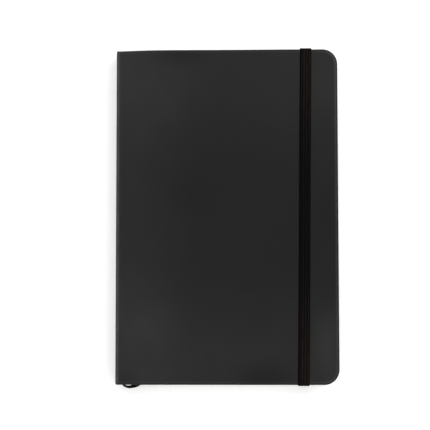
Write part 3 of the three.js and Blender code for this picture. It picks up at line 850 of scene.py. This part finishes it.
# ------------------------------------------------------------------ paper
def flat_leaf(name, node, body, mat, x_start=None, blend=True, t=0.125):
    lo, hi = nbox(node)
    z = (lo[2] + hi[2]) / 2
    xs0 = lo[0] + 0.02
    near = [0, 0.15, 0.35, 0.55, 0.75, 0.95, 1.15, 1.35, 1.55, 1.75, 1.95, 2.15, 2.35, 2.55, 2.75, 3.2, 4.2, 6.5, 11, 18]
    path = [(xs0 + a, z) for a in near] + [(None, z, s) for s in (0.12, 0.25, 0.4, 0.55, 0.7, 0.85, 0.96, 1.0)]
    j = rng.uniform(0, 0.10, 2)
    ob = swept_sheet(name, path, t, mat, y1=PY1 - 0.02 - j[0] * 0.6, x1=PX1 - 0.02 - j[1])
    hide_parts(node)
    if blend:
        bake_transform(ob)
    else:
        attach(ob, body)
    return ob


flat_leaf("front_flyleaf_sheet", "front_flyleaf", "front_flyleaf_turn", ENDPAPER)
for n in range(1, 9):
    flat_leaf(f"leaf_{n}_sheet", f"leaf_{n}", f"leaf_{n}_turn", PAPER)
flat_leaf("back_flyleaf_sheet", "back_flyleaf", "text_block", ENDPAPER, blend=False)


def section(n):
    """four folded sheets, one inside the other"""
    lo, hi = nbox(f"signature_{n}")
    zc = (lo[2] + hi[2]) / 2
    t = 0.128
    allv, allf = [], []
    for j in range(4):
        h = 0.525 - 0.15 * j
        jx, jy = rng.uniform(0, 0.13), rng.uniform(0, 0.07)
        ys, xs = rows(PY1 - 0.02 - jy, PX1 - 0.02 - jx, R_PAPER, n=9, mid=4)
        cx = PX0 + 0.63
        upper = [(None, zc + h, s) for s in (1.0, 0.9, 0.6, 0.3)] + [(cx + 4, zc + h, None)]
        bend = [(cx - h * math.sin(a), zc + h * math.cos(a), None) for a in np.linspace(0, math.pi, 7)]
        lower = [(cx + 4, zc - h, None)] + [(None, zc - h, s) for s in (0.3, 0.6, 0.9, 1.0)]
        path = upper + bend + lower
        P = np.zeros((len(path), len(ys), 3))
        for i, (x, z, share) in enumerate(path):
            for k in range(len(ys)):
                P[i, k] = (x if x is not None else lerp(cx + 4, xs[k], share), ys[k], z)
        T = np.gradient(P, axis=0)
        Nn = np.zeros_like(P)
        Nn[..., 0] = -T[..., 2]
        Nn[..., 2] = T[..., 0]
        Nn /= np.linalg.norm(Nn, axis=2, keepdims=True)
        v, f = sheet_solid(P, Nn, t)
        base = sum(len(a) for a in allv)
        allv.append(v)
        allf += [tuple(base + i for i in q) for q in f]
    ob = new_mesh(f"section_{n}", np.concatenate(allv), allf, PAPER, angle=40)
    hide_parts(f"signature_{n}")
    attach(ob, "text_block")


for n in range(2, 8):
    section(n)


# ------------------------------------------------------------------ head and tail bands
def end_band(s, node):
    lo, hi = nbox(node)
    z0, z1 = lo[2], hi[2]
    cx, cy, r = X0 + 3.3, PY1 + 0.95, 0.72
    ang = np.linspace(math.radians(-140), math.radians(150), 18)
    sec = [(X0 + 1.72, 97.6, 0), (X0 + 1.98, 97.6, 0), (X0 + 1.98, PY1 + 0.2, 0)]
    sec += [(cx + r * math.cos(a), cy + r * math.sin(a), 1) for a in ang]
    sec += [(X0 + 1.9, PY1 + 1.15, 0), (X0 + 1.72, PY1 + 0.9, 0)]
    zs = np.linspace(z0, z1, 110)
    R = np.zeros((len(zs), len(sec), 3))
    for i, z in enumerate(zs):
        rib = 1 - 0.13 * (0.5 + 0.5 * math.cos(2 * math.pi * z / 0.62))
        for k, (x, y, bead) in enumerate(sec):
            if bead:
                x, y = cx + (x - cx) * rib, cy + (y - cy) * rib
            R[i, k] = (x, s * y, z)
    v, f = tube_solid(R)
    ob = new_mesh(node + "_woven", v, f, BANDM, angle=60)
    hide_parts(node)
    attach(ob, "text_block")


end_band(1, "headband")
end_band(-1, "tailband")


# ------------------------------------------------------------------ ribbon marker
def catmull(points, per=8):
    pts = np.array(points, float)
    out = []
    for i in range(len(pts) - 1):
        p0, p1, p2, p3 = pts[max(i - 1, 0)], pts[i], pts[i + 1], pts[min(i + 2, len(pts) - 1)]
        for k in range(per):
            t = k / per
            out.append(0.5 * ((2 * p1) + (-p0 + p2) * t + (2 * p0 - 5 * p1 + 4 * p2 - p3) * t ** 2
                              + (-p0 + 3 * p1 - 3 * p2 + p3) * t ** 3))
    out.append(pts[-1])
    return np.array(out)


def ribbon():
    zr = nbox("signature_4")[1][2] + 0.05 + 0.125
    W, t = 6.0, 0.17
    # x, y, z, twist in degrees from lying flat
    key = [(-63.9, 101.2, zr, 0), (-63.9, 60, zr, 0), (-63.9, 10, zr, 0), (-63.9, -40, zr, 0), (-63.9, -90, zr, 0),
           (-64.0, -101.0, zr, 0), (-64.6, -102.9, zr, 40), (-65.2, -104.2, zr - 0.05, 76), (-65.15, -105.4, zr - 0.1, 84),
           (-63.9, -106.45, zr - 0.15, 84), (-61.5, -106.9, zr - 0.2, 78), (-58.9, -106.4, zr - 0.2, 72),
           (-57.0, -105.65, zr - 0.15, 66), (-55.8, -104.6, zr - 0.1, 56), (-55.45, -103.2, zr, 28), (-55.4, -101.6, zr, 0),
           (-55.4, -85, zr, 0), (-55.4, -55, zr, 0), (-55.4, -30.5, zr, 0)]
    c = catmull(key, per=7)
    P = c[:, :3]
    tw = np.radians(c[:, 3])
    T = np.gradient(P, axis=0)
    T /= np.linalg.norm(T, axis=1, keepdims=True)
    H = np.cross(T, np.array([0, 0, 1.0]))
    H /= np.linalg.norm(H, axis=1, keepdims=True)
    Z = np.cross(H, T)
    Wd = np.cos(tw)[:, None] * H + np.sin(tw)[:, None] * Z
    Nn = np.cross(T, Wd)
    s = np.concatenate([[0], np.cumsum(np.linalg.norm(np.diff(P, axis=0), axis=1))])
    across = np.linspace(-0.5, 0.5, 13)
    G = np.zeros((len(P), len(across), 3))
    GN = np.zeros_like(G)
    uv = []
    for i in range(len(P)):
        for k, a in enumerate(across):
            curl = 0.10 * (abs(a) * 2) ** 3 * math.sin(tw[i])
            G[i, k] = P[i] + Wd[i] * a * W + Nn[i] * curl
            GN[i, k] = Nn[i]
            uv.append((a + 0.5, s[i] / 10))
    v, f = sheet_solid(G, GN, t)
    ob = new_mesh("ribbon_marker_satin", v, f, SATIN, angle=60, uv=uv + uv)
    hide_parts("ribbon_marker")
    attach(ob, "text_block")
    return float(s[-1])


ribbon_length = ribbon()


# ------------------------------------------------------------------ elastic closure
def elastic():
    zo, zi = 0.05 + BAND_T / 2, Z_BACK_LIP - 0.15
    zfr = eb[1][2] - BAND_T / 2
    ye = eb[1][1] - BAND_T / 2 - 0.13
    end = SLOT_Y - 12.0

    def corner(cy, cz, r, a0, a1, n):
        return [(cy + r * math.cos(a), cz + r * math.sin(a)) for a in np.linspace(a0, a1, n)]

    half = [(end, zi), (end + 4, zi), (end + 8, zi), (SLOT_Y - 1.6, zi)]
    half += corner(SLOT_Y - 0.4, zi - 0.4, 0.4, math.pi / 2, 0, 5)
    half += corner(SLOT_Y + 0.32, zo + 0.33, 0.33, math.pi, 1.5 * math.pi, 4)
    half += [(y, zo) for y in np.linspace(SLOT_Y + 1.5, ye - 1.6, 5)]
    half += corner(ye - 0.55, zo + 0.55, 0.55, -math.pi / 2, 0, 7)
    half += [(ye, z) for z in np.linspace(2.2, zfr - 2.0, 9)]
    half += corner(ye - 0.95, zfr - 0.95, 0.95, 0, math.pi / 2, 9)
    half += [(y, zfr) for y in np.linspace(ye - 2.0, 8, 20)]
    pts = np.array(half + [(-y, z) for y, z in reversed(half)])
    T = np.gradient(pts, axis=0)
    T /= np.linalg.norm(T, axis=1, keepdims=True)
    Nn = np.stack([-T[:, 1], T[:, 0]], 1)
    # outward side of the loop
    s = np.concatenate([[0], np.cumsum(np.linalg.norm(np.diff(pts, axis=0), axis=1))])
    M = 61
    u = np.linspace(0, 1, M)
    ribs = np.abs(np.sin(4 * math.pi * u)) ** 0.6
    h = 0.14 + 0.14 * ribs
    edge = np.clip(np.minimum(u, 1 - u) * BAND_W / 0.28, 0, 1)
    h = h * np.sqrt(np.clip(1 - (1 - edge) ** 2, 0.02, 1))
    K = 2 * M
    R = np.zeros((len(pts), K, 3))
    uv = []
    for i in range(len(pts)):
        y, z = pts[i]
        ny, nz = Nn[i]
        # a little slack: the band wanders a touch to the side along its length
        wob = 0.03 * math.sin(s[i] / 23.0)
        for k in range(K):
            if k < M:
                uu, hh = u[k], h[k]
            else:
                uu, hh = u[K - 1 - k], -h[K - 1 - k]
            hh *= lerp(0.5, 1.0, float(smooth((min(s[i], s[-1] - s[i]) - 9.5) / 2.5)))
            R[i, k] = (BAND_X + wob + (uu - 0.5) * (BAND_W - 0.05), y + ny * hh, z + nz * hh)
            uv.append((uu, s[i] / 10))
    v, f = tube_solid(R)
    ob = new_mesh("elastic_closure", v, f, ELASTIC, angle=70, uv=uv)
    ob.data.transform(LEAN)
    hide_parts("elastic_band")
    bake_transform(ob)
    return float(s[-1])


elastic_length = elastic()


# ------------------------------------------------------------------ back pocket
def pocket():
    lo, hi = nbox("pocket_panel")
    x0, x1, yp = lo[0], hi[0], hi[1]
    z = (lo[2] + hi[2]) / 2
    ys, _ = rows(yp, x1, 5.2, n=6, mid=9)
    # from the free edge near the spine to the fold at the fore edge, then under as the glued flap
    ax = JOINT["pocket_hinge"]["pos_m"][0] / MM
    zg = nbox("pocket_gusset_head")[0][2] + 0.06
    rz = (z - zg) / 2
    path = [(x0, z), (x0 + 0.4, z), (x0 + 12, z)] + [(lerp(x0 + 12, x1 - 6, t), z) for t in (0.25, 0.5, 0.75, 1.0)] + [(x1 - 2, z), (x1 - 0.5, z)]
    path += [(x1 - 0.5 + rz * math.cos(a), zg + rz + rz * math.sin(a)) for a in np.linspace(math.pi / 2 - 0.3, -math.pi / 2, 8)]
    path += [(x1 - 2.5, zg), (x1 - 5, zg), (x1 - 9, zg)]
    P = np.zeros((len(path), len(ys), 3))
    n_flap = 3
    for i, (x, zz) in enumerate(path):
        for j, y in enumerate(ys):
            # round corners at the fore edge
            over = max(0.0, abs(y) - (yp - 5.2))
            cut_in = 5.2 - math.sqrt(max(5.2 ** 2 - over ** 2, 0.0))
            share = smooth((x - (x1 - 12)) / 12)
            P[i, j] = (x - cut_in * float(share), y, zz)
    T = np.gradient(P, axis=0)
    Nn = np.zeros_like(P)
    Nn[..., 0] = -T[..., 2]
    Nn[..., 2] = T[..., 0]
    Nn /= np.linalg.norm(Nn, axis=2, keepdims=True)
    v, f = sheet_solid(P, Nn, 0.24)
    ob = new_mesh("pocket_panel_card", v, f, ENDPAPER, angle=40)
    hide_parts("pocket_panel")
    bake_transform(ob)


pocket()


def gusset(s, node):
    lo, hi = nbox(node)
    x0, x1 = lo[0], hi[0]
    yo = max(abs(lo[1]), abs(hi[1]))
    yi = min(abs(lo[1]), abs(hi[1]))
    z0, z1 = lo[2] + 0.05, hi[2] - 0.05
    zm = (z0 + z1) / 2
    # glued strip on the cover, in to the fold, and out again to the panel
    path = [(yo - 5.5, z0), (yo - 3, z0), (yo - 0.4, z0), (yo - 0.1, z0 + 0.035), (yo - 0.4, z0 + 0.07), (yo - 3, zm - 0.05),
            (yi + 0.6, zm - 0.03), (yi + 0.35, zm), (yi + 0.6, zm + 0.03), (yo - 3, zm + 0.05), (yo - 0.4, z1 - 0.07),
            (yo - 0.1, z1 - 0.035), (yo - 0.4, z1), (yo - 3, z1), (yo - 5.5, z1)]
    xs = np.linspace(x0, x1, 24)
    P = np.zeros((len(path), len(xs), 3))
    for i, (y, z) in enumerate(path):
        for j, x in enumerate(xs):
            P[i, j] = (x, s * y, z)
    T = np.gradient(P, axis=0)
    Nn = np.zeros_like(P)
    Nn[..., 1] = -T[..., 2]
    Nn[..., 2] = T[..., 1]
    Nn /= np.linalg.norm(Nn, axis=2, keepdims=True)
    v, f = sheet_solid(P, Nn, 0.03)
    ob = new_mesh(node + "_cloth", v, f, CLOTH, angle=60)
    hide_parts(node)
    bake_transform(ob)


gusset(1, "pocket_gusset_head")
gusset(-1, "pocket_gusset_tail")

# ------------------------------------------------------------------ CAD nodes that stay
keep = {"spine_stiffener": CARD, "spine_lining": CARD, "mull": MULL, "gutter_thread": THREAD}
keep.update({f"sewing_thread_{i}": THREAD for i in range(1, 6)})
for n, m in keep.items():
    ob = frame["nodes"][n]
    ob.data.materials.clear()
    ob.data.materials.append(m)

# ------------------------------------------------------------------ floor, light and camera
me = bpy.data.meshes.new("floor")
S = 3.0
me.from_pydata([(-S, -S, 0), (S, -S, 0), (S, S, 0), (-S, S, 0)], [], [(0, 1, 2, 3)])
floor = bpy.data.objects.new("floor", me)
scene.collection.objects.link(floor)
fm, fnt, fb_ = material("floor_white")
fb_.inputs["Base Color"].default_value = (0.93, 0.93, 0.93, 1)
fb_.inputs["Roughness"].default_value = 0.9
fb_.inputs["Specular IOR Level"].default_value = 0.1
fb_.inputs["Emission Color"].default_value = (1, 1, 1, 1)
fb_.inputs["Emission Strength"].default_value = 0.225
me.materials.append(fm)

# a white tent round the table, with the dark ceiling opening over the book
world = bpy.data.worlds.new("studio")
scene.world = world
world.use_nodes = True
wnt = world.node_tree
W = Nodes(wnt)
dot = W.new("ShaderNodeVectorMath", operation="DOT_PRODUCT")
W.link(W.tc.outputs["Generated"], dot.inputs[0])
dot.inputs[1].default_value = Vector((0.03, 0.075, 1.0)).normalized()
tilt = W.math("DEGREES", W.math("ARCCOSINE", dot.outputs["Value"]))
tent = W.ramp(W.range(tilt, 0.0, 60.0, 0.0, 1.0), [
    (0.0, (0.20, 0.20, 0.20)), (0.10, (0.38, 0.38, 0.38)), (0.20, (0.78, 0.78, 0.78)), (0.36, (1.0, 1.0, 1.0)),
    (1.0, (1.0, 1.0, 1.0))])
bg = wnt.nodes["Background"]
W.link(tent, bg.inputs["Color"])
bg.inputs["Strength"].default_value = 1.10


def area(name, loc, target, size, energy, color=(1, 1, 1)):
    d = bpy.data.lights.new(name, "AREA")
    d.shape = "RECTANGLE"
    d.size, d.size_y = size
    d.energy = energy
    d.color = color
    o = bpy.data.objects.new(name, d)
    scene.collection.objects.link(o)
    o.location = loc
    o.rotation_euler = (Vector(target) - Vector(loc)).to_track_quat("-Z", "Y").to_euler()
    return o


area("key", (0.62, 0.55, 0.95), (0.0, 0.0, 0.0), (0.5, 0.5), 2.5, (1.0, 0.99, 0.975))

cam = bpy.data.cameras.new("camera")
cam.sensor_width = 36
cam.sensor_fit = "HORIZONTAL"
cam.lens = 106.80
cam.clip_end = 20
cam_ob = bpy.data.objects.new("camera", cam)
scene.collection.objects.link(cam_ob)
cam_ob.location = (0.01788, -0.05697, 0.81294)
cam_ob.rotation_euler = (0.07187, 0.03175, -0.00077)
scene.camera = cam_ob

scene.view_settings.view_transform = "Standard"
scene.view_settings.look = "None"

bpy.context.view_layer.update()
